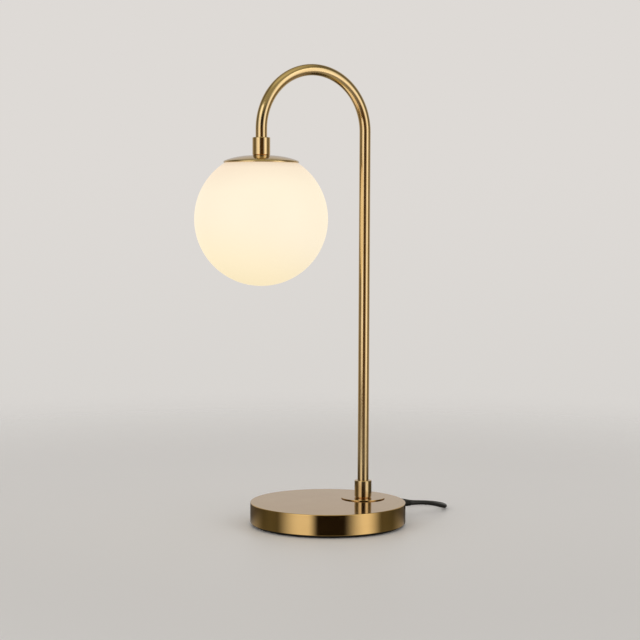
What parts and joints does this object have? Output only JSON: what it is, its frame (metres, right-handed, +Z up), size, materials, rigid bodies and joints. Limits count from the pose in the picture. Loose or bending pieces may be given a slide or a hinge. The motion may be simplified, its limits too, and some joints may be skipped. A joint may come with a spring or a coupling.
{
  "type": "glass globe table lamp",
  "caption": "Table lamp: an arc of satin brass tube on a round weighted base carries an opal glass globe under a shallow brass cap; black cord with inline switch and plug.",
  "frame": {"origin": "centre of the foot pad, on the surface the lamp stands on", "axes": "+Z up, +X from the centre of the base towards the stem, globe over the -X side"},
  "size_m": [0.3499, 0.2633, 0.5294],
  "materials": {
    "satin_brass": "satin brushed brass, lacquered",
    "opal_glass": "opal white glass, gloss outside",
    "clear_glass": "clear",
    "cast_iron": "raw casting",
    "zinc_steel": "zinc plated",
    "black_rubber": "matt black",
    "black_plastic": "fine texture",
    "white_ceramic": "unglazed",
    "pale_plastic": "moulded",
    "contact_brass": "plain"
  },
  "bodies": {
    "root": {"base_shell": "satin_brass", "base_weight": "cast_iron", "bottom_cover": "zinc_steel", "foot_pad": "black_rubber", "cover_screws": "zinc_steel", "stem_plate": "satin_brass", "lower_collar": "satin_brass", "stem_rod": "zinc_steel", "stem_washer": "zinc_steel", "stem_nut": "zinc_steel", "terminal_block": "pale_plastic", "terminal_screws": "contact_brass", "cord_clamp": "pale_plastic", "cord_bush": "black_rubber", "arc_tube": "satin_brass", "upper_collar": "satin_brass", "shade_cap": "satin_brass", "cap_washer": "zinc_steel", "cap_gasket": "black_rubber", "globe_carrier": "zinc_steel", "holder_cup": "zinc_steel", "head_rod": "zinc_steel", "head_nut": "zinc_steel", "holder_body": "white_ceramic", "holder_contacts": "contact_brass", "lamp_wires": "pale_plastic", "supply_lead": "black_rubber", "switch_base": "black_plastic", "switch_lid": "black_plastic", "switch_contacts": "contact_brass", "switch_screws": "zinc_steel", "switch_leads": "black_rubber", "plug_body": "black_plastic", "plug_blades": "contact_brass", "plug_relief": "black_rubber", "switch_sleeve_in": "black_rubber", "switch_sleeve_out": "black_rubber", "cord_lead": "black_rubber", "cord_run": "black_rubber", "cord_coil": "black_rubber", "cord_tail": "black_rubber"},
    "globe": {"opal_globe": "opal_glass"},
    "bulb": {"bulb_pins": "zinc_steel", "bulb_foot": "white_ceramic", "bulb_glass": "clear_glass", "bulb_core": "white_ceramic"},
    "rocker": {"switch_rocker": "black_plastic"}
  },
  "joints": [
    {"name": "globe_pull", "type": "slide", "parent": "root", "child": "globe", "axis": [0, 0, -1], "range_m": [0, 0.12]},
    {"name": "bulb_pull", "type": "slide", "parent": "root", "child": "bulb", "axis": [0, 0, -1], "range_m": [0, 0.03]},
    {"name": "rocker_tip", "type": "hinge", "parent": "root", "child": "rocker", "pos_m": [0.1002, 0.0748, 0.0086], "axis": [-0.2419, -0.9703, 0], "range_deg": [0, 16]}
  ]
}
